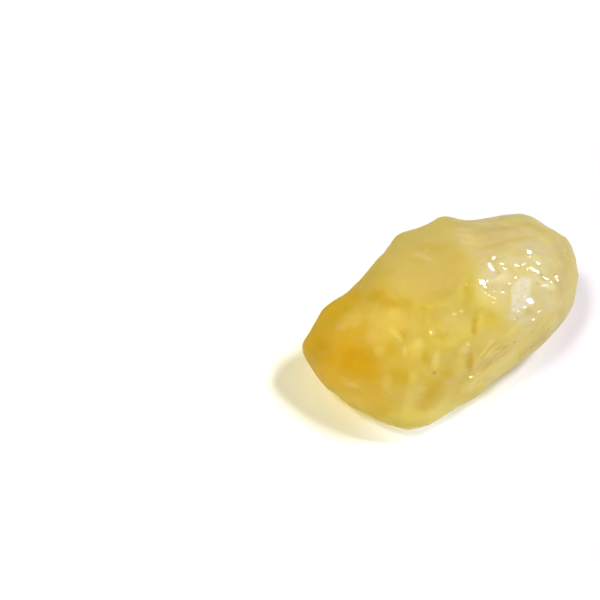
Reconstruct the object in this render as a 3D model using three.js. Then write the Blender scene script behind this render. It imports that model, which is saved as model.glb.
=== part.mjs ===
// Rough citrine: one loose broken piece of yellow quartz, lying on its flattest fracture.
// Millimetres, +Z up. The origin is under the middle of the stone's box, on the surface
// it lies on; +X runs along the stone, from its pointed golden end to its blunt pale end.
import * as THREE from 'three';
import { ConvexHull } from 'three/addons/math/ConvexHull.js';
import { mergeVertices } from 'three/addons/utils/BufferGeometryUtils.js';

// ---- driving dimensions ----
const LENGTH = 36.8;        // along X, tip to blunt end
const WIDTH = 22.8;         // along Y
const HEIGHT = 17.0;        // above the resting face
const DETAIL = 17;          // splits of each icosahedron edge
const ROUNDING_PASSES = 2;  // how far the breaks between the faces are worn round
const WEAR = 0.5;           // inward step of one rounding pass
const FILL = 0.42;          // outward step that gives the volume back
const REST_BAND = 0.02;     // skin above the resting plane that belongs to the resting face

// A point well inside the stone, from which its whole surface can be seen.
const HEART = new THREE.Vector3(-1.37, -1.0, 7.3);

// The edge that the stone's outline follows, from the tip around the back,
// the blunt end and the front.
const RIM = [
  [-18.92, 4.14, 5.92], [-17.34, 4.39, 6.58], [-14.34, 6.3, 8.47], [-10.9, 6.02, 9.44], [-7.32, 7.54, 10.96], [-4.71, 8.37, 11.75],
  [-2.33, 9.84, 12.45], [1.38, 9.56, 12.52], [4.33, 9.93, 12.15], [6.95, 8.57, 11.66], [10.84, 7.83, 11.39], [14.43, 6.92, 11],
  [16, 5.4, 10.48], [16.95, 3.57, 9.95], [18.4, 2.7, 9.5], [18.18, 0.36, 8.73], [17.21, -2.91, 7.61], [15.57, -5.31, 6.68],
  [12.94, -6.86, 5.87], [10.15, -7.59, 5.31], [6.25, -8.94, 4.77], [3.07, -9.71, 4.27], [-1.12, -10.64, 3.64], [-5.9, -11.27, 2.91],
  [-8.01, -11.62, 2.52], [-10.09, -11.34, 2.31], [-11.82, -10.39, 2.44], [-13.33, -8.99, 2.77], [-14.47, -7.25, 3.12], [-15.89, -5.69, 3.39],
  [-16.83, -3.88, 3.84], [-17.84, -1.91, 4.32], [-18.59, 0.38, 4.94], [-18.56, 2.5, 5.46],
];

// The upper surface: the rim and floor of the smooth scoop, the back slope, the crest,
// the chipped blunt end, the ridge over the stained crack, the broad body towards the tip
// and the striated flank.
const CROWN = [
  [-6.54, 5.92, 12.3], [-7.06, 3.39, 13.3], [-7.16, 0.97, 14.2], [-6.41, -1.26, 15.1], [-4.63, -2.9, 15.9], [-2.36, -3.36, 16.5],
  [-0.1, -2.63, 17], [1.17, 0.49, 16.3], [2.05, 4.04, 15], [3, 7.2, 13.3], [-2.47, 2.74, 14.6], [-1.77, 0.46, 15.4],
  [-4.83, 2.44, 14.1], [-0.39, 6.51, 13.4], [-3.18, 6.29, 13], [5.33, 3.45, 14.5], [8.61, 3.02, 14], [12.1, 2.55, 12.6],
  [13.93, 0.94, 11.5], [2.89, -0.42, 16.5], [5.89, -0.46, 16], [9.59, -0.6, 14.6], [12.47, -1.82, 12.6], [14.69, -2.47, 10.4],
  [1.78, -3.47, 17], [4.3, -3.25, 16.8], [5.87, -4.96, 15.9], [8.69, -5.01, 14.4], [11.67, -4.48, 12.2], [3.88, -6.89, 15],
  [6.56, -6.74, 13.9], [9.68, -6.42, 11.6], [13.25, -5.04, 9.3], [2.71, -7.82, 13.4], [6.26, -7.76, 11.8], [9.66, -7.03, 10],
  [-0.46, -5.39, 16.3], [-1.46, -7.78, 14.2], [-2.2, -9.45, 10.4], [-2.27, -10.07, 6.8], [-4.6, -5.02, 15], [-7.14, -3.17, 13.9],
  [-9.12, 0.39, 12.1], [-11.58, 2.19, 10.6], [-14.64, 2.59, 8.8], [-5.6, -7.35, 13], [-8.43, -5.72, 12.4], [-11.01, -3.31, 11.3],
  [-13.67, -0.89, 9.8], [-16.61, 1.13, 7.7], [-6.24, -9.51, 8.9], [-9.48, -8.41, 9], [-12.2, -6.1, 8.6], [-14.83, -3.53, 7.7],
  [-16.34, -1.2, 6.9], [-7.45, -10.39, 5], [-10.28, -9.45, 4.8], [-12.78, -7.71, 5.5], [-14.66, -5.04, 5.6], [1.84, -8.93, 10.2],
  [5.88, -8.3, 8.7], [0.68, -9.77, 6.3], [4, -9.21, 6.4], [7.78, -8.23, 7], [10.45, -7.37, 7.4],
];

// The walls between the rim and the resting face.
const BELT = [
  [-17.52, 3.73, 3], [-16.3, 4.04, 3.3], [-13.29, 5.71, 4.2], [-10.44, 5.68, 4.7], [-7.53, 7.85, 5.67], [-6.79, 6.79, 2.18],
  [-5.13, 9.55, 6.08], [-4.7, 8.33, 2.34], [-2.48, 11.52, 6.4], [-2.37, 10.22, 2.46], [1.81, 11.25, 6.45], [1.49, 9.99, 2.48],
  [4.87, 10.96, 6.24], [4.27, 9.8, 2.4], [7.78, 9.54, 6.03], [6.93, 8.56, 2.32], [11.9, 8.59, 5.88], [10.84, 7.83, 2.26],
  [15.45, 7.43, 5.67], [14.29, 6.85, 2.18], [16.64, 5.64, 5.41], [15.42, 5.19, 2.08], [17.18, 3.63, 5.15], [15.92, 3.32, 1.98],
  [18.11, 2.64, 4.89], [16.83, 2.4, 1.88], [18.64, 0.4, 4.52], [17.35, 0.31, 1.74], [16.56, -2.85, 3.8], [14.54, -5.05, 3.35],
  [12.17, -6.55, 2.95], [9.98, -7.49, 2.65], [5.38, -8.03, 2.16], [2.33, -8.26, 1.93], [-1.17, -8.66, 1.67], [-5.14, -9.53, 1.35],
  [-6.95, -9.93, 1.22], [-8.85, -9.88, 1.12], [-10.45, -9.16, 1.17], [-11.8, -7.96, 1.31], [-12.93, -6.52, 1.44], [-14.17, -5.13, 1.58],
  [-15.25, -3.59, 1.76], [-16.16, -1.81, 1.98], [-17.04, 0.26, 2.25], [-17.77, 2.34, 2.75],
];

// The outline of the lowest fracture, a little under the resting plane, which cuts it flat.
const BASE = [
  [-14.11, 2.73, -0.8], [-12.62, 2.8, -0.8], [-10.7, 4.25, -0.8], [-7.16, 3.27, -0.8], [-4.76, 3.87, -0.8], [-3.15, 3.98, -0.8],
  [-2.01, 6.2, -0.8], [0.46, 6.03, -0.8], [2.03, 5.52, -0.8], [4.07, 5.27, -0.8], [8.02, 5.79, -0.8], [10.61, 5, -0.8],
  [11.15, 3.62, -0.8], [12.89, 2.56, -0.8], [14.44, 1.96, -0.8], [13.63, 0.05, -0.8], [13.4, -2.52, -0.8], [10.58, -4.04, -0.8],
  [9.3, -5.37, -0.8], [6.89, -5.73, -0.8], [3.16, -5.73, -0.8], [1.04, -5.75, -0.8], [-1.27, -4.77, -0.8], [-3.56, -5.96, -0.8],
  [-5.35, -7.36, -0.8], [-6.41, -6.97, -0.8], [-8, -6.96, -0.8], [-9.31, -6.3, -0.8], [-9.54, -4.89, -0.8], [-11.47, -4.26, -0.8],
  [-12.31, -3.04, -0.8], [-12.87, -1.63, -0.8], [-14.88, 0.08, -0.8], [-13.94, 1.56, -0.8], [-1.37, -1, -0.8],
];

// ---- faces between the corner points ----
// The corners, seen from the heart, are spread over a sphere. The hull of their directions
// says which three corners each face joins.
const corners = [...RIM, ...CROWN, ...BELT, ...BASE]
  .map(([x, y, z]) => new THREE.Vector3(x, y, z).sub(HEART));
const directions = corners.map((c) => c.clone().normalize());
const indexOf = new Map(directions.map((d, i) => [d, i]));
const hull = new ConvexHull().setFromPoints(directions);

const faces = hull.faces.map((face) => {
  const ids = [];
  let edge = face.edge;
  do {
    ids.push(indexOf.get(edge.head().point));
    edge = edge.next;
  } while (edge !== face.edge);
  const [a, b, c] = ids.map((i) => corners[i]);
  const normal = new THREE.Vector3().subVectors(b, a).cross(new THREE.Vector3().subVectors(c, a));
  const reach = normal.dot(a);
  const [p, q, r] = ids.map((i) => directions[i]);
  const turn = Math.sign(new THREE.Vector3().crossVectors(p, q).dot(r));
  const sides = [[p, q], [q, r], [r, p]]
    .map(([s, t]) => new THREE.Vector3().crossVectors(s, t).multiplyScalar(turn));
  return { normal, reach, sides };
});

// Distance from the heart to the surface along a direction.
function reachAlong(dir) {
  let best = -Infinity;
  let hit = faces[0];
  for (const face of faces) {
    const inside = Math.min(face.sides[0].dot(dir), face.sides[1].dot(dir), face.sides[2].dot(dir));
    if (inside > best) {
      best = inside;
      hit = face;
    }
  }
  return hit.reach / hit.normal.dot(dir);
}

// ---- skin ----
function stoneGeometry() {
  const ball = new THREE.IcosahedronGeometry(1, DETAIL);
  ball.deleteAttribute('normal');
  ball.deleteAttribute('uv');
  const geometry = mergeVertices(ball, 1e-4);
  const position = geometry.getAttribute('position');
  const index = geometry.getIndex();
  const points = [];
  for (let i = 0; i < position.count; i += 1) {
    const dir = new THREE.Vector3().fromBufferAttribute(position, i).normalize();
    points.push(dir.clone().multiplyScalar(reachAlong(dir)).add(HEART));
  }

  // Worn edges: each pass moves every point towards the mean of its neighbours and part way back.
  const near = points.map(() => new Set());
  for (let i = 0; i < index.count; i += 3) {
    const tri = [index.getX(i), index.getX(i + 1), index.getX(i + 2)];
    for (let k = 0; k < 3; k += 1) {
      near[tri[k]].add(tri[(k + 1) % 3]);
      near[tri[(k + 1) % 3]].add(tri[k]);
    }
  }
  const relax = (step) => {
    const means = points.map((p, i) => {
      const mean = new THREE.Vector3();
      for (const j of near[i]) mean.add(points[j]);
      return mean.divideScalar(near[i].size);
    });
    points.forEach((p, i) => p.lerp(means[i], step));
  };
  for (let pass = 0; pass < ROUNDING_PASSES; pass += 1) {
    relax(WEAR);
    relax(-FILL);
  }

  // Flat resting face, then the real size: the box is LENGTH x WIDTH x HEIGHT.
  points.forEach((p) => { p.z = p.z < REST_BAND ? 0 : p.z; });
  const box = new THREE.Box3().setFromPoints(points);
  const size = box.getSize(new THREE.Vector3());
  const middle = box.getCenter(new THREE.Vector3());
  points.forEach((p, i) => {
    position.setXYZ(
      i,
      (p.x - middle.x) * (LENGTH / size.x),
      (p.y - middle.y) * (WIDTH / size.y),
      (p.z - box.min.z) * (HEIGHT / size.z),
    );
  });
  geometry.computeVertexNormals();
  return geometry;
}

const stone = new THREE.Mesh(
  stoneGeometry(),
  new THREE.MeshStandardMaterial({ color: 0xd9bd5a, roughness: 0.22, metalness: 0 }),
);
stone.name = 'citrine_stone';

const part = new THREE.Group();
part.add(stone);

export default part;
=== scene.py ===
import math

import bpy
import numpy as np
from mathutils import Matrix, Vector
from mathutils.bvhtree import BVHTree


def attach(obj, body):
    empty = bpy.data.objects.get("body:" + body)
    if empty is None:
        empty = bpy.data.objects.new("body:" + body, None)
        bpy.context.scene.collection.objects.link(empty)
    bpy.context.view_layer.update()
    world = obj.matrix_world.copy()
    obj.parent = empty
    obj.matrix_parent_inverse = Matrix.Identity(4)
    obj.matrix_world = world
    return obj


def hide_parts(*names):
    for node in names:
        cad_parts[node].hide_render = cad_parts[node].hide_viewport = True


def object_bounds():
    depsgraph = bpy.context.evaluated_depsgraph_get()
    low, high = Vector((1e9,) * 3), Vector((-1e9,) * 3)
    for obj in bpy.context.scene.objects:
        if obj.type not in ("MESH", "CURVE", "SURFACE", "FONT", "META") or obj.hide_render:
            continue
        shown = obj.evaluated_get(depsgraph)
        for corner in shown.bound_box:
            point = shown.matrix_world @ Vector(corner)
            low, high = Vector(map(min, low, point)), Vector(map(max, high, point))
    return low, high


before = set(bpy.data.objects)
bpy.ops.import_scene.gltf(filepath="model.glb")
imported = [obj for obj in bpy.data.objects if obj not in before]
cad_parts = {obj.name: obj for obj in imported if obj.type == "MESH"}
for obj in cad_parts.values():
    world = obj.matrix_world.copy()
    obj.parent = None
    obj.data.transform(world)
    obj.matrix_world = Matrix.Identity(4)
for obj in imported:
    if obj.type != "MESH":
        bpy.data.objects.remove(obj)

cad_lo, cad_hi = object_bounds()
SC = bpy.context.scene
MM = 0.001

# ------------------------------------------------------------------ view
# Millimetres, in the stone's own frame.
EYE = np.array([-45.889, -58.446, 124.727])
AIM = np.array([-15.714, 9.329, 6.0])
FOV = math.radians(30.0)
TURN = math.radians(24.0)          # the stone's long axis against the view's right

fwd = (AIM - EYE) / np.linalg.norm(AIM - EYE)
right = np.cross(fwd, [0.0, 0.0, 1.0]); right /= np.linalg.norm(right)
up = np.cross(right, fwd)
FOCAL = 300.0 / math.tan(FOV / 2)


def view_ray(u, v):
    d = fwd * FOCAL + right * (u - 300.0) - up * (v - 300.0)
    return d / np.linalg.norm(d)


def to_view(p):
    """Picture position (600 x 600) of points in millimetres."""
    q = p - EYE
    w = q @ fwd
    return np.stack([300 + FOCAL * (q @ right) / w, 300 - FOCAL * (q @ up) / w], -1)


def from_view_axes(x, y, z):
    """A direction given as right, away, up in the view's floor plane, in the stone's frame."""
    c, s = math.cos(TURN), math.sin(TURN)
    d = np.array([x * c + y * s, -x * s + y * c, z], float)
    return d / np.linalg.norm(d)


# ------------------------------------------------------------------ noise
def lattice(i, seed):
    h = (i[..., 0].astype(np.int64) * 374761393 + i[..., 1].astype(np.int64) * 668265263
         + i[..., 2].astype(np.int64) * 974634777 + seed * 1274126177) & 0xFFFFFFFF
    h = ((h ^ (h >> 13)) * 1274126177) & 0xFFFFFFFF
    h = ((h ^ (h >> 15)) * 2246822519) & 0xFFFFFFFF
    return h ^ (h >> 16)


def perlin(p, seed=0):
    base = np.floor(p).astype(np.int64)
    f = p - base
    w = f * f * f * (f * (f * 6 - 15) + 10)
    out = np.zeros(len(p))
    for dx in (0, 1):
        for dy in (0, 1):
            for dz in (0, 1):
                o = np.array([dx, dy, dz])
                h = lattice(base + o, seed)
                a = (h & 0xFFFF) / 65536.0 * 2 * math.pi
                c = ((h >> 16) & 0xFFFF) / 32768.0 - 1.0
                s = np.sqrt(np.maximum(0, 1 - c * c))
                g = np.stack([s * np.cos(a), s * np.sin(a), c], -1)
                k = (w[:, 0] if dx else 1 - w[:, 0]) * (w[:, 1] if dy else 1 - w[:, 1]) * (w[:, 2] if dz else 1 - w[:, 2])
                out += k * ((f - o) * g).sum(-1)
    return out * 1.6


def fbm(p, seed=0, octaves=3, gain=0.5):
    s, a, t = np.zeros(len(p)), 1.0, 0.0
    for k in range(octaves):
        s += a * perlin(p * 2.0 ** k + 17.3 * k, seed + k)
        t += a
        a *= gain
    return s / t


def hollows(p, seed=0, jitter=0.9, soft=9.0):
    """Soft distance to the nearest cell point: shallow dishes that meet in worn ridges."""
    base = np.floor(p).astype(np.int64)
    total = np.zeros(len(p))
    for dx in (-1, 0, 1):
        for dy in (-1, 0, 1):
            for dz in (-1, 0, 1):
                c = base + np.array([dx, dy, dz])
                q = np.stack([(lattice(c, seed + k) & 0xFFFF) / 65536.0 for k in range(3)], -1)
                q = c + 0.5 + jitter * (q - 0.5)
                total += np.exp(-soft * ((p - q) ** 2).sum(-1))
    return np.minimum(1.2, -np.log(total + 1e-9) / soft)


def smooth01(x, a, b):
    t = np.clip((x - a) / (b - a), 0.0, 1.0)
    return t * t * (3 - 2 * t)


# ------------------------------------------------------------------ mesh tools
def welded(obj):
    me = obj.data
    co = np.empty(len(me.vertices) * 3)
    me.vertices.foreach_get("co", co)
    co = co.reshape(-1, 3) / MM
    me.calc_loop_triangles()
    tri = np.empty(len(me.loop_triangles) * 3, np.int64)
    me.loop_triangles.foreach_get("vertices", tri)
    tri = tri.reshape(-1, 3)
    _, first, back = np.unique(np.round(co, 3), axis=0, return_index=True, return_inverse=True)
    tri = np.asarray(back).reshape(-1)[tri]
    keep = (tri[:, 0] != tri[:, 1]) & (tri[:, 1] != tri[:, 2]) & (tri[:, 2] != tri[:, 0])
    return co[first], tri[keep]


def split(P, T, n):
    """Every triangle becomes n * n, with shared points along shared edges."""
    e = np.concatenate([T[:, [0, 1]], T[:, [1, 2]], T[:, [0, 2]]])
    lo, hi = e.min(1), e.max(1)
    E, inv = np.unique(np.stack([lo, hi], 1), axis=0, return_inverse=True)
    inv = np.asarray(inv).reshape(3, len(T))
    flip = (e[:, 0] > e[:, 1]).reshape(3, len(T))
    N, M = len(P), len(E)
    t = np.arange(1, n) / n
    edge_pts = P[E[:, 0]][:, None] * (1 - t)[None, :, None] + P[E[:, 1]][:, None] * t[None, :, None]
    idx = np.zeros((len(T), n + 1, n + 1), np.int64)
    idx[:, 0, 0], idx[:, n, 0], idx[:, 0, n] = T[:, 0], T[:, 1], T[:, 2]
    for k in range(1, n):
        for side, (i, j) in enumerate(((k, 0), (n - k, k), (0, k))):
            kk = np.where(flip[side], n - k, k)
            idx[:, i, j] = N + inv[side] * (n - 1) + kk - 1
    inner = [(i, j) for i in range(1, n) for j in range(1, n - i)]
    pts = [P, edge_pts.reshape(-1, 3)]
    start = N + M * (n - 1)
    for m, (i, j) in enumerate(inner):
        idx[:, i, j] = start + m * len(T) + np.arange(len(T))
        pts.append((P[T[:, 0]] * (n - i - j) + P[T[:, 1]] * i + P[T[:, 2]] * j) / n)
    tris = []
    for i in range(n):
        for j in range(n - i):
            tris.append(np.stack([idx[:, i, j], idx[:, i + 1, j], idx[:, i, j + 1]], 1))
            if i + j < n - 1:
                tris.append(np.stack([idx[:, i + 1, j], idx[:, i + 1, j + 1], idx[:, i, j + 1]], 1))
    return np.concatenate(pts), np.concatenate(tris)


def refine(P, T, mark):
    """Splits the marked triangles in four, and their neighbours so that no edge is left hanging."""
    e = np.sort(np.stack([T[:, [0, 1]], T[:, [1, 2]], T[:, [2, 0]]], 1), -1)
    key = e[..., 0] * len(P) + e[..., 1]
    cut = np.unique(key[mark].ravel())
    at = np.searchsorted(cut, key)
    has = (at < len(cut)) & (cut[np.minimum(at, len(cut) - 1)] == key)
    mid = np.where(has, len(P) + at, -1)
    P2 = np.concatenate([P, 0.5 * (P[cut // len(P)] + P[cut % len(P)])])
    n = has.sum(1)
    out = [T[n == 0]]
    t, m = T[n == 3], mid[n == 3]
    out += [np.stack(c, 1) for c in ((t[:, 0], m[:, 0], m[:, 2]), (m[:, 0], t[:, 1], m[:, 1]), (m[:, 2], m[:, 1], t[:, 2]), (m[:, 0], m[:, 1], m[:, 2]))]
    for k in range(3):
        i, j, l = k, (k + 1) % 3, (k + 2) % 3
        s = (n == 1) & has[:, k]
        t, m = T[s], mid[s]
        out += [np.stack(c, 1) for c in ((t[:, i], m[:, k], t[:, l]), (m[:, k], t[:, j], t[:, l]))]
        s = (n == 2) & ~has[:, k]                     # the two cut edges meet at corner l
        t, m = T[s], mid[s]
        out += [np.stack(c, 1) for c in ((m[:, l], m[:, j], t[:, l]), (t[:, i], t[:, j], m[:, j]), (t[:, i], m[:, j], m[:, l]))]
    return P2, np.concatenate(out)


def neighbours(n, T):
    a = np.concatenate([T[:, 0], T[:, 1], T[:, 2], T[:, 1], T[:, 2], T[:, 0]])
    b = np.concatenate([T[:, 1], T[:, 2], T[:, 0], T[:, 0], T[:, 1], T[:, 2]])
    k = np.unique(a * n + b)
    a, b = k // n, k % n
    deg = np.bincount(a, minlength=n)
    first = np.concatenate([[0], np.cumsum(deg)[:-1]])
    table = np.tile(np.arange(n)[:, None], (1, deg.max()))
    table[a, np.arange(len(a)) - first[a]] = b
    return table, deg


def relax(P, table, deg, steps, lam=0.5, mu=-0.52, weight=None):
    spare = table.shape[1] - deg
    for k in range(steps):
        for s in (lam, mu):
            mean = (P[table].sum(1) - P * spare[:, None]) / deg[:, None]
            d = s * (mean - P)
            P = P + (d if weight is None else d * weight[:, None])
    return P


def normals(P, T):
    n = np.cross(P[T[:, 1]] - P[T[:, 0]], P[T[:, 2]] - P[T[:, 0]])
    out = np.stack([sum(np.bincount(T[:, c], n[:, a], len(P)) for c in range(3)) for a in range(3)], 1)
    return out / np.maximum(np.linalg.norm(out, axis=1), 1e-12)[:, None]


def make_object(name, P, T, attributes=None):
    me = bpy.data.meshes.new(name)
    me.from_pydata([], [], [])
    me.vertices.add(len(P))
    me.vertices.foreach_set("co", (P * MM).astype(np.float32).ravel())
    me.loops.add(len(T) * 3)
    me.loops.foreach_set("vertex_index", T.astype(np.int32).ravel())
    me.polygons.add(len(T))
    me.polygons.foreach_set("loop_start", np.arange(0, len(T) * 3, 3, dtype=np.int32))
    me.update(calc_edges=True)
    me.validate()
    me.polygons.foreach_set("use_smooth", np.ones(len(me.polygons), bool))
    for key, rgb in (attributes or {}).items():
        layer = me.attributes.new(key, "FLOAT_COLOR", "POINT")
        rgba = np.ones((len(P), 4), np.float32)
        rgba[:, :rgb.shape[1]] = rgb
        layer.data.foreach_set("color", rgba.ravel())
    ob = bpy.data.objects.new(name, me)
    SC.collection.objects.link(ob)
    return ob


def inside_outline(uv, outline, soft):
    """1 inside a picture outline, 0 outside, with a soft edge that many pixels wide."""
    o = np.array(outline, float)
    x, y = uv[:, 0], uv[:, 1]
    odd = np.zeros(len(uv), bool)
    dist = np.full(len(uv), 1e9)
    for k in range(len(o)):
        a, b = o[k], o[(k + 1) % len(o)]
        cross = (a[1] > y) != (b[1] > y)
        with np.errstate(divide="ignore", invalid="ignore"):
            xx = (b[0] - a[0]) * (y - a[1]) / (b[1] - a[1]) + a[0]
        odd ^= cross & (x < xx)
        ab = b - a
        t = np.clip(((uv - a) @ ab) / (ab @ ab), 0, 1)
        dist = np.minimum(dist, np.linalg.norm(uv - a - t[:, None] * ab, axis=1))
    signed = np.where(odd, dist, -dist)
    return smooth01(signed, -soft, soft)


# ------------------------------------------------------------------ the stone
P0, T0 = welded(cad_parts["citrine_stone"])
P, T = split(P0, T0, 4)
table_n, deg = neighbours(len(P), T)
on_base = P[:, 2] < 1e-4
P = relax(P, table_n, deg, 14)
P[on_base & (P[:, 2] < 0.05), 2] = 0.0
pic = to_view(P)
worn = np.exp(-((pic[:, 0] - 503) / 11) ** 2 - ((pic[:, 1] - 277) / 8) ** 2) * (P[:, 2] > 8.0)
P = relax(P, table_n, deg, 12, 0.5, 0.0, worn)


def cast(P, T):
    return BVHTree.FromPolygons([tuple(p) for p in P], [tuple(t) for t in T.tolist()])


tree = cast(P0, T0)


def spot(u, v):
    """Point of the upper surface that is seen at a picture position."""
    hit = tree.ray_cast(Vector(EYE), Vector(view_ray(u, v)))
    if hit[0] is None:
        raise ValueError(f"no surface at {u},{v}")
    return np.array(hit[0]), np.array(hit[1])


SCOOP = [(381, 266), (387, 281), (396, 293), (411, 301), (432, 303.5), (452, 297), (466, 283), (463, 262), (454, 243),
         (446, 229), (426, 226), (401, 236), (388, 252)]
CHIPPED = [(474, 268), (484, 252), (506, 245), (532, 243), (552, 252), (566, 268), (568, 288), (558, 308), (545, 320),
           (522, 326), (505, 318), (494, 306), (480, 294)]
FLANK = [(484, 340), (507, 330), (530, 326), (546, 322), (552, 326), (556, 330), (552, 335), (548, 338), (524, 360),
         (504, 377), (480, 394), (470, 390), (474, 362)]
BACK = [(455, 238), (470, 218), (500, 214), (526, 213), (556, 232), (572, 252), (576, 268), (560, 262), (530, 246), (500, 250), (470, 262)]


def seen_in(outlines, grow):
    """Triangles of the upper side that lie in the picture outlines."""
    c = P[T].mean(1)
    n = np.cross(P[T[:, 1]] - P[T[:, 0]], P[T[:, 2]] - P[T[:, 0]])
    pic = to_view(c)
    return (n @ fwd < 0) & np.any([inside_outline(pic, o, grow) > 0 for o in outlines], axis=0)


CHIPS = [
    # u, v, length, width (picture units), angle below the horizontal, freshness
    (483.2, 282, 8.4, 6.2, 20, 0.8), (488.2, 280.6, 4.4, 2.6, -12, 0.5), (485.6, 287, 4.4, 2.2, 25, 0.35), (479, 279.6, 2.4, 2, 0, 0.3), (494.4, 258, 5.5, 2.6, -25, 0.4), (493, 267.5, 11.5, 4, 45, 0.5), (502.5, 263.8, 4.6, 2.4, 15, 0.25), (504.4, 268.5, 4.4, 2.6, 15, 0.2),
    (516, 265, 4.6, 3, 10, 0.2), (523.8, 264, 5, 3, -5, 0.25), (530, 251.8, 6, 4, 25, 0.5), (530.2, 256.2, 2.8, 2.8, 0, 0.25), (538.2, 262.6, 6, 2.8, 30, 0.3),
    (533.8, 260.6, 2.4, 1.8, 0, 0.2), (527.5, 268.5, 3.4, 2.6, 0, 0.25), (534.6, 269.7, 12.5, 2.8, 31, 0.5), (545.6, 276.6, 12, 3.0, 33, 0.6), (556.6, 276.6, 6.4, 3.6, 58, 0.6), (557.8, 280, 3.4, 2.4, 10, 0.3), (551, 282, 4.4, 4.2, 30, 0.5),
    (544.5, 283.5, 16, 4.4, 16, 0.16), (516, 277.5, 3, 3.2, 70, 0.2), (509.6, 283, 2.6, 2.6, 0, 0.2), (502.9, 292, 3.4, 3.4, 0, 0.25), (486.5, 293, 3.4, 2.2, 20, 0.25),
    (491.5, 296, 9, 1.8, 27, 0.2), (494, 291, 2.8, 2, 0, 0.2), (494, 302, 2.4, 1.8, 0, 0.2), (530.5, 299.5, 9, 6.5, 50, 0.8), (525.8, 296.2, 3.4, 3, 30, 0.4),
    (533.8, 318.8, 3.8, 3.4, -15, 0.4), (539.2, 310.7, 3.8, 2.2, -20, 0.3), (515.6, 319, 2.4, 2.2, 0, 0.2), (564.6, 250.2, 3.2, 2.6, 35, 0.2), (566.9, 255, 3.8, 2.2, 35, 0.25),
    (543, 244.6, 2.6, 1.6, 20, 0.15), (467, 284.8, 2.4, 2.4, 0, 0.25), (525.5, 306.5, 4.5, 3, 20, 0.2), (519, 310.5, 4, 2.6, 0, 0.15), (514.5, 308.5, 3, 3, 0, 0.12),
    (471.7, 376, 5, 3, -30, 0.6), (431.7, 332, 2.8, 3.2, 0, 0.14), (467.8, 344, 3.2, 2.4, -20, 0.16), (454.5, 314, 2.8, 1.8, -15, 0.14), (461.5, 311, 2.8, 1.8, 0, 0.14),
]
REFLECTION_OUTLINE = [(521, 277), (527.5, 278), (531, 278.5), (531, 285), (530, 288), (531, 295), (536, 303), (532.5, 305), (528, 307), (525, 310), (522.5, 314), (518.8, 315),
          (515, 312.5), (511, 312.5), (512, 302.5), (511, 292.5), (513, 286), (517.5, 281)]
# Finer mesh where the small chips and streaks are.
P, T = refine(P, T, seen_in([CHIPPED, FLANK], 2.0))
near_chips = []
for u, v, length, width, angle, fresh in CHIPS:
    r = 0.5 * length + 1.2
    near_chips.append([(u - r, v - r), (u + r, v - r), (u + r, v + r), (u - r, v + r)])
P, T = refine(P, T, seen_in(near_chips, 0.5))
N = normals(P, T)
facing = smooth01(-(N @ fwd), 0.02, 0.22)      # 1 on the side that the view shows
uv = to_view(P)
scoop = inside_outline(uv, SCOOP, 4.0) * facing * smooth01(P[:, 2], 10.0, 11.5)
chipped = inside_outline(uv, CHIPPED, 6.0) * facing
flank = inside_outline(uv, FLANK, 5.0) * facing
back = inside_outline(uv, BACK, 6.0) * facing
rest = smooth01(P[:, 2], 0.0, 1.2)             # fades the relief out at the resting face

# Broad undulation and shallow shell-like dimples of broken quartz.
warp = np.stack([perlin(P / 2.8, 31), perlin(P / 2.8, 32), perlin(P / 2.8, 33)], 1)
calm = (1 - 0.85 * scoop) * rest
still = 1 - 0.85 * np.exp(-((uv[:, 0] - 503) / 12) ** 2 - ((uv[:, 1] - 277) / 8) ** 2) * facing
calm *= still
patch = smooth01(fbm(P / 7.0, 41, 2), -0.35, 0.25)
d = 0.22 * fbm(P / 6.5, 3, 2) * calm
rough_side = 1 + 0.9 * (1 - facing)            # the far side is less worn
d += 0.30 * (hollows(P / 3.4 + 0.3 * warp, 11) - 0.42) * calm * (0.35 + 0.65 * patch) * rough_side
d += 0.105 * (hollows(P / 1.55 + 0.3 * warp, 12) - 0.42) * calm * (0.3 + 0.7 * smooth01(fbm(P / 4.0, 44, 2), -0.2, 0.3)) * rough_side
d += 0.06 * (hollows(P / 0.9 + 0.3 * warp, 16) - 0.42) * rest * (1 - facing) * smooth01(fbm(P / 3.0, 45, 2), -0.1, 0.3)
d += (0.035 * perlin(P / 1.1, 18) + 0.045 * (hollows(P / 0.85 + 0.3 * warp, 15) - 0.4)) * chipped * still
# Growth lines on the flank and, weaker, on the back slope.
grow = np.array([0.955, 0.257, 0.151]); grow /= np.linalg.norm(grow)
along = P @ grow
across = P - along[:, None] * grow
bend = 0.9 * perlin(P / 5.0, 53)
lines = perlin(np.stack([along / 5.5, (across[:, 1] + bend) / 1.5, (across[:, 2] + bend) / 1.5], 1), 51)
lines2 = perlin(np.stack([along / 3.0, (across[:, 1] + bend) / 0.6, (across[:, 2] + bend) / 0.6], 1), 52)
broken = smooth01(fbm(P / 3.2, 54, 2), -0.25, 0.2)
d += flank * rest * broken * (0.18 * lines + 0.075 * lines2)
d += back * rest * broken * (0.03 * lines + 0.012 * lines2)
rim = smooth01(0.5 - np.abs(N @ fwd), 0.0, 0.3) * smooth01(P[:, 0], 5.0, 11.0) * rest
d += 0.24 * (hollows(P / 1.35 + 0.3 * warp, 19) - 0.46) * rim
P = P + N * d[:, None]

# Fresh chips: small breaks that lean towards one of the lights, so that they flash.
KEY = from_view_axes(0.54, 0.28, 0.79)


def toward(light, u, v):
    h = light - view_ray(u, v)
    return h / np.linalg.norm(h)


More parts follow.
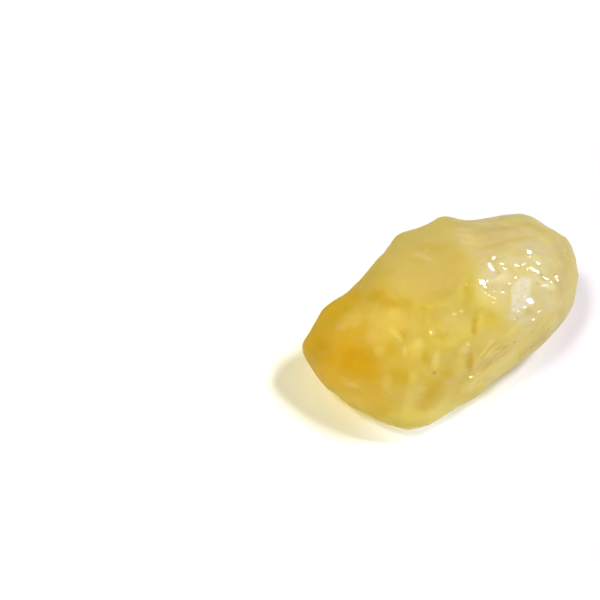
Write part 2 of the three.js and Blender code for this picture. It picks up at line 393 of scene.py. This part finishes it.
gloss = 0.12 * chipped * still
N = normals(P, T)
tree = cast(P, T)
ragged = 1 + 0.42 * perlin(P / 0.38, 81) + 0.22 * perlin(P / 0.17, 82)
steps = []                                     # a long break is a row of short steps
for u, v, length, width, angle, fresh in CHIPS:
    n = max(1, round(length / (3.0 * width)))
    for k in range(n):
        t = ((k + 0.5) / n - 0.5) * length
        steps.append((u + t * math.cos(math.radians(angle)), v + t * math.sin(math.radians(angle)), 1.25 * length / n if n > 1 else length, width, angle, fresh))
for u, v, length, width, angle, fresh in steps:
    at, _ = spot(u, v)
    ca, sa_ = math.cos(math.radians(angle)), math.sin(math.radians(angle))
    per = np.linalg.norm(at - EYE) / FOCAL
    lean = toward(KEY, u, v)
    q = P - at
    rho = np.sqrt(((q @ (right * ca - up * sa_)) / (0.54 * length * per)) ** 2
                  + ((q @ (right * sa_ + up * ca)) / (0.54 * width * per)) ** 2 + (q @ fwd / 2.5) ** 2)
    rho = rho * ragged
    w = (1 - smooth01(rho, 0.75, 1.35)) * facing
    off = q @ lean
    off = off - 0.7 * min(0.0, off[w > 0.4].min(initial=0.0))      # cuts more than it raises
    P = P - lean * (np.clip(off, -0.12, 0.75) * w)[:, None]
    gloss = np.maximum(gloss, fresh * w)
# The far side broke in the same way: fresh chips scattered over it, leaning at random.
dice = np.random.default_rng(11)
far = np.flatnonzero((N @ fwd > 0.25) & (P[:, 2] > 2.0))
for i in dice.choice(far, 46, replace=False):
    at, n = P[i].copy(), N[i]
    lean = n + 0.42 * dice.normal(size=3)
    lean /= np.linalg.norm(lean)
    q = P - at
    off = np.clip(q @ lean + 0.10, 0.0, 0.5)
    rho = np.linalg.norm(q - (q @ lean)[:, None] * lean, axis=1) / dice.uniform(0.35, 1.15) * ragged + np.abs(q @ n) / 3.0
    w = (1 - smooth01(rho, 0.75, 1.35)) * (1 - facing)
    P = P - lean * (off * w)[:, None]
    gloss = np.maximum(gloss, 0.9 * w)
P[:, 2] = np.maximum(P[:, 2], 0.0)
lo_mm, hi_mm = np.array(cad_lo) / MM, np.array(cad_hi) / MM
P = np.clip(P, lo_mm, hi_mm)
N = normals(P, T)

# Zones that the finish follows: the stone's own colour under the skin, and in places painted highlights, reflections
# and shade. Each one is a few soft patches, given as picture position, half width, half height, turn and strength.
def patches(spots, gain=1.0):
    total = np.zeros(len(P))
    pic = to_view(P)
    for u, v, ru, rv, turn, strength in spots:
        c, q = math.cos(math.radians(turn)), math.sin(math.radians(turn))
        at, _ = spot(u, v)
        x, y = pic[:, 0] - u, pic[:, 1] - v
        x, y = (x * c + y * q) / ru, (-x * q + y * c) / rv
        near = 1 - smooth01(np.linalg.norm(P - at, axis=1), 0.9 * max(ru, rv) * 0.125 + 2.0, 1.6 * max(ru, rv) * 0.125 + 4.0)
        g = min(0.95, gain * strength) * np.exp(-((x * x + y * y) * np.maximum(0.2, 1 + 0.7 * wobble)) ** 1.8) * near
        total = total + g - total * g
    return total


wobble = np.clip(fbm(P / 1.3, 91, 2), -1, 1)
gold_far = smooth01(-P[:, 0] + 0.12 * P[:, 1], 5.0, 16.2)
golden = np.clip(0.72 * gold_far, 0, 1)
g = patches([
    (356, 361, 18, 17, 0, 0.90), (369, 373, 11, 10, 20, 0.55), (345, 352, 20, 10, -20, 0.30), (322, 344, 9, 7, 30, 0.70), (312, 346, 9, 13, 10, 0.60), (354, 298, 12, 7, -35, 0.60),
    (340, 311, 11, 8, -35, 0.55), (358, 331, 5, 4, 0, 0.30), (326, 362, 9, 10, 40, 0.35), (384, 300, 18, 6, 35, 0.40), (398, 377, 16, 9, 0, 0.22),
    (434, 388, 11, 13, 20, 0.35),
])
golden = golden + g - golden * g
pale_end = smooth01(P[:, 0] + 0.15 * P[:, 1], -3.0, 13.0)
# Pale flecks and milky patches of the stone, with painted light mixed in: small painted glints, and lighter facets on
# the flank and near the bottom painted in.
light = patches([
    (394.5, 314, 7, 6, 0, 0.70), (390, 322, 19, 14, 0, 0.40), (395.5, 333.5, 9, 3.2, 42, 0.75), (431.7, 332, 2.4, 3.2, 0, 0.75), (418, 344.5, 5, 5, 0, 0.55),
    (415, 348, 8, 11, 0, 0.35), (405, 351, 2.4, 5.5, 0, 0.60), (436, 359.5, 4, 8.5, 8, 0.75), (413, 377, 4, 6, 0, 0.40), (421, 389, 5, 4, 0, 0.35),
    (409, 402, 6, 17, 12, 0.50), (387, 382, 5, 8, 0, 0.35), (352, 385, 8, 2.4, 12, 0.50), (344, 379, 4, 2.4, 20, 0.22), (390.5, 393, 1.8, 1.8, 0, 0.50),
    (342, 327, 5, 4, 0, 0.40), (352, 320, 13, 8, -15, 0.30), (379, 351, 5, 5, 0, 0.40), (376, 338, 10, 7, 0, 0.35), (454.5, 314, 2.2, 1.6, -15, 0.60),
    (461.5, 311, 2.2, 1.6, 0, 0.60), (450, 326, 14, 9, 0, 0.16), (459, 368, 7, 9, 0, 0.40), (426, 258, 16, 3.5, 18, 0.16), (438, 413, 18, 5, -25, 0.40),
    (513.5, 331, 11, 3.8, -42, 0.60), (525, 342, 16, 3.0, -44, 0.80), (529.5, 336.5, 5, 2.8, -44, 0.60), (534, 340, 8, 1.4, -37, 0.45), (503, 363, 13, 4.2, -44, 0.70),
    (513.5, 222, 14, 3.6, -5, 0.45), (478, 226, 10, 4, 0, 0.28), (470, 240, 8, 5, 0, 0.28), (545, 240, 8, 3.4, 30, 0.32), (505, 253, 12, 3.6, -10, 0.28),
    (555, 262, 8, 5, 45, 0.28), (493, 370, 9, 4, -40, 0.35), (486, 345, 6, 8, 0, 0.25), (534, 320, 7, 4, -20, 0.35), (517, 351, 10, 2, -44, 0.35), (532, 334, 18, 9, -42, 0.30),
    (503, 366, 20, 6, -40, 0.55), (546, 322, 9, 7, -40, 0.36), (474, 384, 14, 6, -32, 0.55), (410, 417, 30, 7, -4, 0.48), (450, 402, 16, 7, -28, 0.42), (352, 400, 20, 6, 28, 0.30),
], 1.3)
# Pinkish-white flecks of the stone; two small ones are also painted highlights where small glints sit.
rose_and_glints = patches([(464.5, 350, 6, 4.6, -30, 0.85), (467.8, 344, 2.4, 2.2, 0, 0.80), (438, 412, 16, 4, -25, 0.35), (538, 311, 4, 3, 0, 0.40), (514, 331, 10, 2.4, -40, 0.35), (555, 304, 8, 9, 20, 0.35), (547, 285.5, 10, 4.4, 17, 0.75),
                (436, 357, 3, 5, 8, 0.60), (418, 344, 4, 4, 0, 0.45), (431.7, 332, 2.2, 2.8, 0, 0.6), (405, 351, 2, 4.5, 0, 0.4), (572, 300, 5, 16, 10, 0.25), (450, 318, 8, 6, 0, 0.25)])
# Darker spots of the stone, with painted shade mixed in: shade along the scoop's lower rim and on the darker facets of
# the body and flank.
dark_spots_and_shade = patches([
    (322, 344.5, 8, 6, 30, 0.40), (397, 302.5, 15, 6, -8, 0.22), (440, 294, 16, 5, -12, 0.28), (428, 247, 18, 5, 8, 0.20), (455, 262, 6, 14, 10, 0.14), (403, 333, 7, 6, 0, 0.45), (400, 377, 15, 8, 0, 0.40), (435, 390, 10, 13, 20, 0.50),
    (449, 373, 9, 7, 0, 0.40), (425.5, 404, 6, 13, 20, 0.42), (452, 307, 20, 16, 0, 0.26), (470, 304, 10, 14, 0, 0.20), (559, 272, 12, 22, 10, 0.28), (425.5, 357, 5, 7, 0, 0.45), (391, 349, 6, 7, 0, 0.40),
    (442, 335, 7, 6, 0, 0.35), (470, 290, 6, 12, 0, 0.35), (490, 320, 8, 9, 0, 0.30), (505, 347.5, 4.4, 2, -35, 0.55), (514.5, 342, 3, 1.1, -5, 0.50), (533, 337.5, 4.4, 1.3, -40, 0.50), (541, 337, 13, 3, -42, 0.32), (552, 315, 12, 4, -35, 0.40), (384, 299, 15, 7, 35, 0.24),
    (470, 362, 4, 10, 5, 0.45), (475, 322, 4, 13, 3, 0.45), (516, 240, 20, 3, -10, 0.38), (490, 247, 14, 2.6, -15, 0.32), (540, 230, 13, 2.6, 25, 0.32), (500, 229, 12, 2.4, -5, 0.28),
    (560, 291, 5, 13, -10, 0.25), (528, 224, 9, 2.6, 15, 0.28), (480, 233, 12, 3.4, 10, 0.25), (536, 344, 12, 1.6, -40, 0.40),
    (522, 355, 16, 2.4, -42, 0.40), (374, 296, 9, 4, -25, 0.35), (460, 395, 16, 4, -28, 0.30),
], 1.25)
# Pale and dark streaks along the flank's growth lines. They are part streak colour, and part painted light on the
# raised ridges and painted shade in the grooves.
light = np.maximum(light, 0.90 * flank * broken * smooth01(lines2, 0.05, 0.36))
dark_spots_and_shade = np.maximum(dark_spots_and_shade, 0.55 * flank * broken * smooth01(-lines2, 0.08, 0.36))
shade = patches([(456, 308, 22, 20, 0, 0.58), (474, 297, 9, 16, 0, 0.45), (492, 283, 14, 11, 0, 0.42), (511, 282, 10, 9, 0, 0.40), (442, 334, 14, 8, 0, 0.42),
                 (406, 342, 14, 10, 0, 0.34), (559, 270, 14, 26, 10, 0.42), (538, 242, 18, 8, 22, 0.25), (374, 326, 14, 10, 0, 0.16)])
# The far side has the same mottling, without a picture to place it by.
unseen = 1 - facing
m1, m2, m3 = fbm(P / 2.4, 101, 3), fbm(P / 3.0 + 9.0, 102, 3), fbm(P / 1.7 + 4.0, 103, 2)
light = np.maximum(light, unseen * 0.75 * smooth01(m1, 0.12, 0.42))
dark_spots_and_shade = np.maximum(dark_spots_and_shade, unseen * 0.6 * smooth01(m2, 0.10, 0.42))
rose_and_glints = np.maximum(rose_and_glints, unseen * 0.10 * smooth01(m3, 0.30, 0.55))
# A stained crack in two broken lengths, and a few specks of dark mineral.
crack = np.zeros(len(P))
for (u0, v0), (u1, v1), wid, most in (((476, 309), (475.5, 318), 0.12, 0.22), ((475, 320), (474, 332), 0.17, 0.58), ((471, 349), (470.5, 358), 0.10, 0.20),
                                      ((470.5, 360), (469, 371), 0.15, 0.46)):
    a, _ = spot(u0, v0); b, _ = spot(u1, v1)
    t = np.clip(((P - a) @ (b - a)) / ((b - a) @ (b - a)), 0, 1)
    q = np.linalg.norm(P - a - t[:, None] * (b - a), axis=1) + 0.22 * perlin(P / 0.8, 71)
    crack = np.maximum(crack, most * (1 - smooth01(q, 0.0, wid * 3.4)))
for u, v, r, most in ((434.4, 372.8, 0.20, 0.95), (514.3, 342.4, 0.16, 0.8), (446, 334.5, 0.12, 0.5), (323, 376, 0.12, 0.6)):
    a, _ = spot(u, v)
    crack = np.maximum(crack, most * (1 - smooth01(np.linalg.norm(P - a, axis=1), 0.4 * r, 1.5 * r)))
# Painted reflection: the silvery shine of a fracture close under the chipped end, laid into the colour, with a ragged
# edge and grey specks.
pic = to_view(P) + 1.6 * np.stack([perlin(P / 0.35, 61), perlin(P / 0.35, 62)], 1)
painted_reflection = inside_outline(pic, REFLECTION_OUTLINE, 2.0) * facing * (0.8 + 0.2 * smooth01(fbm(P / 0.7, 67, 2), -0.3, 0.3))
painted_reflection *= 1 - 0.30 * smooth01(perlin(P / 0.42, 63), 0.30, 0.6)
for u, v, r in ((515.6, 292.5, 1.4), (518.8, 300.6, 1.3), (522.5, 300.8, 1.1), (514.5, 306, 0.9), (521, 286, 0.9)):
    painted_reflection *= 1 - 0.6 * np.exp(-((pic[:, 0] - u) ** 2 + (pic[:, 1] - v) ** 2) / r ** 2)
# Painted reflection: soft pale patches of glint haze round the chips, merged into the reflection.
reflection_patches = patches([(424, 256.5, 9, 3, 22, 0.26), (486, 270, 10, 12, 0, 0.30), (513, 317, 4, 3.4, 30, 0.45), (546.5, 284.5, 9, 3.4, 20, 0.50), (539, 281, 4, 2, 30, 0.45), (500, 275, 12, 8, 0, 0.25), (525, 320, 9, 5, -20, 0.45)])
painted_reflection *= 1 - 0.5 * (1 - smooth01(np.abs(perlin(P / 0.8, 64)), 0.0, 0.13))
painted_reflection = np.maximum(painted_reflection, reflection_patches)
# Painted highlights: two small glints laid into the colour as pale marks.
painted_glints = patches([(530, 282.5, 1.3, 4.5, 0, 0.9), (471.7, 376, 2.4, 1.6, -30, 0.95)])
veil = inside_outline(to_view(P), CHIPPED, 12.0) * facing * (0.55 + 0.45 * smooth01(fbm(P / 2.2, 66, 2), -0.3, 0.3))
light = np.maximum(light, painted_glints)
veil = np.maximum(veil, patches([(456, 312, 20, 18, 0, 0.26), (404, 322, 14, 12, 0, 0.22)]))
stone = make_object("citrine_body", P, T, {
    "zone_a": np.stack([golden, scoop, gloss, shade], 1),
    "zone_b": np.stack([crack, pale_end, flank], 1),
    "zone_c": np.stack([light, rose_and_glints, dark_spots_and_shade], 1),
    "zone_d": np.stack([painted_reflection, veil, back], 1),
})

# ------------------------------------------------------------------ finish
mat = bpy.data.materials.new("citrine")
mat.use_nodes = True
nt = mat.node_tree
nt.nodes.clear()


def node(kind, **values):
    n = nt.nodes.new(kind)
    for k, v in values.items():
        if k.startswith("_"):
            setattr(n, k[1:], v)
        else:
            n.inputs[k.replace("__", " ")].default_value = v
    return n


def link(a, b):
    nt.links.new(a, b)


def mix_rgb(fac, a, b):
    n = nt.nodes.new("ShaderNodeMix")
    n.data_type = "RGBA"
    for value, sock in ((fac, n.inputs[0]), (a, n.inputs[6]), (b, n.inputs[7])):
        if hasattr(value, "is_output"):
            link(value, sock)
        elif isinstance(value, tuple):
            sock.default_value = (*value, 1.0)
        else:
            sock.default_value = value
    return n.outputs[2]


def math_node(op, a, b=None, clamp=False):
    n = nt.nodes.new("ShaderNodeMath")
    n.operation = op
    n.use_clamp = clamp
    for value, sock in ((a, n.inputs[0]), (b, n.inputs[1])):
        if value is None:
            continue
        if hasattr(value, "is_output"):
            link(value, sock)
        else:
            sock.default_value = value
    return n.outputs[0]


def ranged(value, a, b, lo=0.0, hi=1.0):
    n = nt.nodes.new("ShaderNodeMapRange")
    n.interpolation_type = "SMOOTHSTEP"
    link(value, n.inputs["Value"])
    n.inputs["From Min"].default_value, n.inputs["From Max"].default_value = a, b
    n.inputs["To Min"].default_value, n.inputs["To Max"].default_value = lo, hi
    return n.outputs["Result"]


def noise(scale, detail=3.0, rough=0.5, distortion=0.0):
    n = nt.nodes.new("ShaderNodeTexNoise")
    link(coords, n.inputs["Vector"])
    n.inputs["Scale"].default_value = scale
    n.inputs["Detail"].default_value = detail
    n.inputs["Roughness"].default_value = rough
    n.inputs["Distortion"].default_value = distortion
    return n.outputs["Fac"]


coords = node("ShaderNodeTexCoord").outputs["Object"]
za = node("ShaderNodeAttribute", _attribute_name="zone_a")
zb = node("ShaderNodeAttribute", _attribute_name="zone_b")
sa = node("ShaderNodeSeparateColor"); link(za.outputs["Color"], sa.inputs[0])
sb = node("ShaderNodeSeparateColor"); link(zb.outputs["Color"], sb.inputs[0])
z_gold, z_scoop, z_gloss = sa.outputs
z_crack, z_pale, z_flank = sb.outputs
zc = node("ShaderNodeAttribute", _attribute_name="zone_c")
sc_ = node("ShaderNodeSeparateColor"); link(zc.outputs["Color"], sc_.inputs[0])
z_pale_and_painted_light, z_rose_and_glints, z_dark_spots_and_shade = sc_.outputs
zd = node("ShaderNodeAttribute", _attribute_name="zone_d")
sd_ = node("ShaderNodeSeparateColor"); link(zd.outputs["Color"], sd_.inputs[0])
z_painted_reflection, z_veil, z_back = sd_.outputs

LEMON = (0.79, 0.68, 0.165)
PALE = (0.77, 0.69, 0.25)
GOLD = (0.86, 0.57, 0.001)
MILK_AND_HIGHLIGHT = (0.96, 0.86, 0.27)
ROSE = (1.0, 0.86, 0.44)
DUSK = (0.70, 0.515, 0.025)
STAIN = (0.52, 0.33, 0.03)
REFLECTION_WHITE = (1.0, 1.0, 0.92)
VEIL = (0.83, 0.785, 0.57)
HAZE = (0.80, 0.685, 0.245)
BEIGE = (0.87, 0.755, 0.43)
STRAW = (0.93, 0.815, 0.25)
colour = mix_rgb(z_pale, LEMON, PALE)
colour = mix_rgb(math_node("MULTIPLY", z_scoop, 0.85), colour, HAZE)
colour = mix_rgb(math_node("MULTIPLY", z_back, 0.6), colour, BEIGE)
colour = mix_rgb(math_node("MULTIPLY", z_flank, 0.38), colour, STRAW)
colour = mix_rgb(math_node("MULTIPLY", z_veil, 0.66), colour, VEIL)
colour = mix_rgb(math_node("MULTIPLY", z_gold, ranged(noise(260.0), 0.3, 0.6, 0.8, 1.0)), colour, GOLD)
colour = mix_rgb(z_dark_spots_and_shade, colour, DUSK)
colour = mix_rgb(math_node("MULTIPLY", ranged(z_gold, 0.1, 0.8, 1.0, 0.2), ranged(noise(520.0, 3.0, 0.55, 0.5), 0.52, 0.72, 0.0, 0.30)), colour, MILK_AND_HIGHLIGHT)
colour = mix_rgb(ranged(noise(340.0, 2.0, 0.5, 0.4), 0.55, 0.75, 0.0, 0.35), colour, DUSK)
# Painted shade: the shade patches multiply the colour darker.
painted_shade_mix = nt.nodes.new("ShaderNodeMix")
painted_shade_mix.data_type, painted_shade_mix.blend_type = "RGBA", "MULTIPLY"
link(za.outputs["Alpha"], painted_shade_mix.inputs[0])
link(colour, painted_shade_mix.inputs[6])
painted_shade_mix.inputs[7].default_value = (0.79, 0.81, 1.0, 1.0)
# Laid over the colour in turn: pale flecks with painted light and highlights, pink flecks with painted glints, and the
# painted reflection of a fracture.
colour = mix_rgb(z_pale_and_painted_light, painted_shade_mix.outputs[2], MILK_AND_HIGHLIGHT)
colour = mix_rgb(math_node("MULTIPLY", z_rose_and_glints, 0.95), colour, ROSE)
colour = mix_rgb(math_node("MULTIPLY", z_painted_reflection, 1.0), colour, REFLECTION_WHITE)
colour = mix_rgb(math_node("MULTIPLY", z_crack, ranged(noise(1100.0), 0.35, 0.6, 0.6, 1.0)), colour, STAIN)

rough = ranged(noise(420.0, 4.0), 0.3, 0.7, 0.33, 0.45)
rough = math_node("ADD", rough, math_node("MULTIPLY", z_scoop, 0.06), clamp=True)
rough = math_node("ADD", rough, math_node("MULTIPLY", z_veil, 0.22), clamp=True)
polish = math_node("MULTIPLY", math_node("SUBTRACT", 1.0, z_scoop), ranged(noise(300.0, 3.0), 0.35, 0.65, 0.0, 0.22))
polish = math_node("MULTIPLY", polish, ranged(z_gold, 0.0, 0.7, 1.0, 0.1))
polish = math_node("MULTIPLY", polish, ranged(z_veil, 0.1, 0.7, 1.0, 0.15))
polish = math_node("MAXIMUM", polish, z_gloss, clamp=True)

grain = noise(1400.0, 2.0, 0.5)
bump = node("ShaderNodeBump", Strength=0.2, Distance=0.00004)
link(grain, bump.inputs["Height"])

bsdf = node("ShaderNodeBsdfPrincipled")
link(colour, bsdf.inputs["Base Color"])
link(rough, bsdf.inputs["Roughness"])
link(bump.outputs["Normal"], bsdf.inputs["Normal"])
link(polish, bsdf.inputs["Coat Weight"])
ripple = node("ShaderNodeBump", Strength=0.35, Distance=0.00003)
link(noise(3200.0, 2.0, 0.5), ripple.inputs["Height"])
link(ripple.outputs["Normal"], bsdf.inputs["Coat Normal"])
bsdf.inputs["Coat Roughness"].default_value = 0.13
bsdf.inputs["Coat IOR"].default_value = 1.5
bsdf.inputs["IOR"].default_value = 1.544
bsdf.inputs["Specular Tint"].default_value = (1.0, 0.86, 0.40, 1.0)
bsdf.inputs["Transmission Weight"].default_value = 0.62
bsdf.inputs["Subsurface Weight"].default_value = 1.0
bsdf.inputs["Subsurface Radius"].default_value = (1.0, 0.85, 0.35)
bsdf.inputs["Subsurface Scale"].default_value = 0.007
depth = node("ShaderNodeVolumeAbsorption")
depth.inputs["Color"].default_value = (0.97, 0.90, 0.25, 1.0)
depth.inputs["Density"].default_value = 45.0
out = node("ShaderNodeOutputMaterial")
link(bsdf.outputs[0], out.inputs["Surface"])
link(depth.outputs[0], out.inputs["Volume"])
stone.data.materials.append(mat)
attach(stone, "root")
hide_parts("citrine_stone")

# ------------------------------------------------------------------ what is sealed in the stone
tree = cast(P, T)


def lenses(name, shapes, rings=5, sides=22):
    """Closed thin lenses with ragged rims, all inside the stone, as one piece."""
    pts, tris = [], []
    for k, (c, a, b, thick, bow) in enumerate(shapes):
        n = np.cross(a, b); n /= np.linalg.norm(n)
        for shrink in (1.0, 0.85, 0.7, 0.55, 0.4, 0.28):
            V = []
            for side in (1, -1):
                for i in range(rings + (side > 0)):
                    r = i / rings
                    for j in range(sides):
                        f = 2 * math.pi * j / sides
                        ragged_r = 1 + 0.22 * math.sin(2 * f + k) + 0.13 * math.sin(5 * f + 2.1 * k) + 0.08 * math.sin(9 * f + 0.7 * k)
                        x, y = r * ragged_r * math.cos(f), r * ragged_r * math.sin(f)
                        lift = bow * (x * x - 0.6 * y * y + 0.4 * x * y) + side * thick * (1 - r * r)
                        V.append(c + shrink * (x * a + y * b + lift * n))
            V = np.array(V)
            deep = []
            for p in V:
                near, nn, _, dist = tree.find_nearest(Vector(p))
                deep.append(dist if (np.array(near) - p) @ np.array(nn) > 0 else -dist)
            if min(deep) > 0.12:
                break
        else:
            continue
        base = sum(len(x) for x in pts)
        top = lambda i, j: base + i * sides + j % sides
        low = lambda i, j: top(rings, j) if i == rings else base + (rings + 1) * sides + i * sides + j % sides
        for i in range(rings):
            for j in range(sides):
                quad = (top(i, j), top(i + 1, j), top(i + 1, j + 1), top(i, j + 1))
                tris.append((quad[0], quad[1], quad[2]))
                if i:
                    tris.append((quad[0], quad[2], quad[3]))
                quad = (low(i, j), low(i, j + 1), low(i + 1, j + 1), low(i + 1, j))
                tris.append((quad[0], quad[2], quad[3]))
                if i:
                    tris.append((quad[0], quad[1], quad[2]))
        pts.append(V)
    V, F = np.concatenate(pts), np.array(tris)
    # The centre of each sheet is one point.
    _, first, back_to = np.unique(np.round(V, 6), axis=0, return_index=True, return_inverse=True)
    F = np.asarray(back_to).reshape(-1)[F]
    ok = (F[:, 0] != F[:, 1]) & (F[:, 1] != F[:, 2]) & (F[:, 2] != F[:, 0])
    ob = make_object(name, V[first], F[ok])
    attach(ob, "root")
    return ob


def finish(ob, name, colour, roughness, alpha=1.0):
    m = bpy.data.materials.new(name)
    m.use_nodes = True
    p = m.node_tree.nodes["Principled BSDF"]
    p.inputs["Base Color"].default_value = (*colour, 1.0)
    p.inputs["Roughness"].default_value = roughness
    p.inputs["Alpha"].default_value = alpha
    ob.data.materials.append(m)


def under(u, v, depth):
    at, n = spot(u, v)
    return at - depth * n


def plate(c, n, long_way, half_long, half_wide, thick, bow=0.0):
    n = np.array(n, float) / np.linalg.norm(n)
    a = np.array(long_way, float); a = a - (a @ n) * n; a /= np.linalg.norm(a)
    return c, a * half_long, np.cross(n, a) * half_wide, thick, bow


tilt = -fwd
axis = np.array([1.0, 0.0, 0.0])
finish(lenses("stained_crack", [
    plate(under(475, 322, 1.3), right + 0.25 * up, up - 0.4 * fwd, 1.9, 1.0, 0.05, 0.15),
    plate(under(470, 361, 1.2), right + 0.15 * up, up - 0.4 * fwd, 1.6, 0.9, 0.05, -0.12),
]), "stain_brown", (0.30, 0.15, 0.02), 0.8, 0.55)
finish(lenses("golden_cloud", [
    plate(under(356, 362, 2.0), tilt, right, 2.6, 2.2, 0.55, 0.2), plate(under(345, 350, 3.2), tilt + 0.4 * up, right, 2.6, 1.6, 0.5, -0.2),
    plate(under(370, 374, 2.4), tilt - 0.3 * up, right, 1.8, 1.4, 0.4, 0.2), plate(np.array([-11.0, 2.0, 5.0]), (0.2, 0.5, 1.0), axis, 3.4, 2.4, 0.7, 0.3),
]), "gold_cloud", (0.92, 0.63, 0.01), 0.7, 0.26)
finish(lenses("milky_veils", [
    plate(np.array([2.0, -1.0, 7.0]), (0.55, 0.2, 0.8), axis, 6.0, 4.2, 0.06, 0.5), plate(np.array([8.5, 1.5, 6.5]), (-0.6, 0.45, 0.66), axis, 5.2, 3.6, 0.06, -0.5),
    plate(np.array([-4.5, 2.0, 6.0]), (0.3, -0.8, 0.5), axis, 4.6, 3.0, 0.06, 0.4), plate(np.array([5.0, 4.0, 5.0]), (0.1, 0.9, 0.42), axis, 5.0, 2.8, 0.06, 0.3),
    plate(np.array([11.0, -2.5, 5.5]), (0.8, -0.3, 0.5), (0, 1, 0.2), 3.6, 2.6, 0.06, 0.3),
]), "milky_veil", (0.95, 0.88, 0.58), 0.6, 0.22)
specks = []
for u, v, depth, r in ((434.4, 372.8, 0.35, 0.15), (514.3, 342.4, 0.35, 0.12), (446, 334.5, 0.5, 0.10), (515.6, 292.5, 0.4, 0.10)):
    specks.append(plate(under(u, v, depth), tilt, right, r, 0.7 * r, 0.6 * r))
for x, y, z, r in ((-6.0, 5.0, 4.0, 0.22), (4.0, 6.0, 8.0, 0.18), (9.0, 3.5, 9.5, 0.16), (13.0, -1.0, 6.0, 0.20), (-2.0, -4.0, 3.0, 0.18), (1.0, 3.0, 11.5, 0.14)):
    specks.append(plate(np.array([x, y, z]), (0.3, 0.4, 0.8), axis, r, 0.7 * r, 0.5 * r))
finish(lenses("mineral_specks", specks, 2, 7), "speck_dark", (0.06, 0.045, 0.02), 0.6)

# ------------------------------------------------------------------ floor, light, camera
fm = bpy.data.materials.new("floor_white")
fm.use_nodes = True
fb = fm.node_tree.nodes["Principled BSDF"]
fb.inputs["Base Color"].default_value = (0.92, 0.885, 0.915, 1.0)
fb.inputs["Roughness"].default_value = 0.9
fb.inputs["Specular IOR Level"].default_value = 0.1
floor_me = bpy.data.meshes.new("floor")
floor_me.from_pydata([(-3, -3, -0.00004), (3, -3, -0.00004), (3, 3, -0.00004), (-3, 3, -0.00004)], [], [(0, 1, 2, 3)])
floor = bpy.data.objects.new("floor", floor_me)
SC.collection.objects.link(floor)
floor_me.materials.append(fm)


def softlight(name, direction, spread, strength, colour=(1, 1, 1)):
    """A far, round soft light that covers that many degrees of the sky."""
    la = bpy.data.lights.new(name, "SUN")
    la.angle = math.radians(spread)
    la.energy = strength
    la.color = colour
    ob = bpy.data.objects.new(name, la)
    ob.location = Vector(direction) * 0.5
    ob.rotation_euler = (-Vector(direction)).to_track_quat("-Z", "Y").to_euler()
    SC.collection.objects.link(ob)
    return ob


softlight("key", KEY, 13.0, 2.6, (1.0, 0.99, 1.04))
fill = softlight("fill", from_view_axes(-0.42, -0.06, 0.90), 14.0, 1.25)
front = softlight("front", from_view_axes(0.30, -0.64, 0.70), 60.0, 1.90, (0.99, 1.0, 1.0))
side = softlight("side", from_view_axes(-0.95, 0.22, 0.08), 30.0, 0.60, (1.0, 0.42, 0.04))
fill.visible_glossy = front.visible_glossy = side.visible_glossy = False
lit = bpy.data.collections.new("front_on")
lit.objects.link(stone)
front.light_linking.receiver_collection = side.light_linking.receiver_collection = lit


# Spots on the floor alone: a yellow one for the light that the stone lets through, and two cool
# ones that keep the floor in front of it pale.
def floor_at(u, v):
    d = view_ray(u, v)
    return EYE + d * (-EYE[2] / d[2])


def glow(name, u, v, reach, watts, colour):
    la = bpy.data.lights.new(name, "SPOT")
    la.energy = watts
    la.color = colour
    la.spot_size = 2 * math.atan(reach / 300.0)
    la.spot_blend = 1.0
    la.shadow_soft_size = 0.004
    ob = bpy.data.objects.new(name, la)
    ob.location = Vector((floor_at(u, v) + 300.0 * KEY) * MM)
    ob.rotation_euler = (-Vector(KEY)).to_track_quat("-Z", "Y").to_euler()
    SC.collection.objects.link(ob)
    only = bpy.data.collections.new(name + "_on")
    only.objects.link(floor)
    ob.light_linking.receiver_collection = only
    ob.light_linking.blocker_collection = only
    return ob


glow("glow", 344, 398, 24.0, 1.34, (1.0, 0.94, 0.06))
glow("glow_side", 503, 385, 8.0, 0.7, (0.25, 0.50, 1.0))
glow("glow_front", 428, 432, 6.5, 3.6, (0.50, 0.62, 1.0))

world = bpy.data.worlds.new("studio")
SC.world = world
world.use_nodes = True
bg = world.node_tree.nodes["Background"]
bg.inputs["Color"].default_value = (1.0, 1.0, 1.0, 1.0)
bg.inputs["Strength"].default_value = 0.13

cam_data = bpy.data.cameras.new("camera")
cam_data.sensor_width = 36.0
cam_data.lens = 18.0 / math.tan(FOV / 2)
cam_data.clip_start, cam_data.clip_end = 0.005, 20.0
cam = bpy.data.objects.new("camera", cam_data)
cam.matrix_world = Matrix((
    (right[0], up[0], -fwd[0], EYE[0] * MM),
    (right[1], up[1], -fwd[1], EYE[1] * MM),
    (right[2], up[2], -fwd[2], EYE[2] * MM),
    (0, 0, 0, 1)))
SC.collection.objects.link(cam)
SC.camera = cam

SC.view_settings.view_transform = "Standard"
SC.view_settings.look = "None"
SC.view_settings.exposure = 0.0
SC.cycles.max_bounces = 20
SC.cycles.transmission_bounces = 20
SC.cycles.transparent_max_bounces = 24
SC.cycles.diffuse_bounces = 6
SC.cycles.glossy_bounces = 8
SC.cycles.caustics_refractive = True
SC.cycles.caustics_reflective = True
SC.cycles.use_denoising = True
SC.cycles.denoising_prefilter = "ACCURATE"
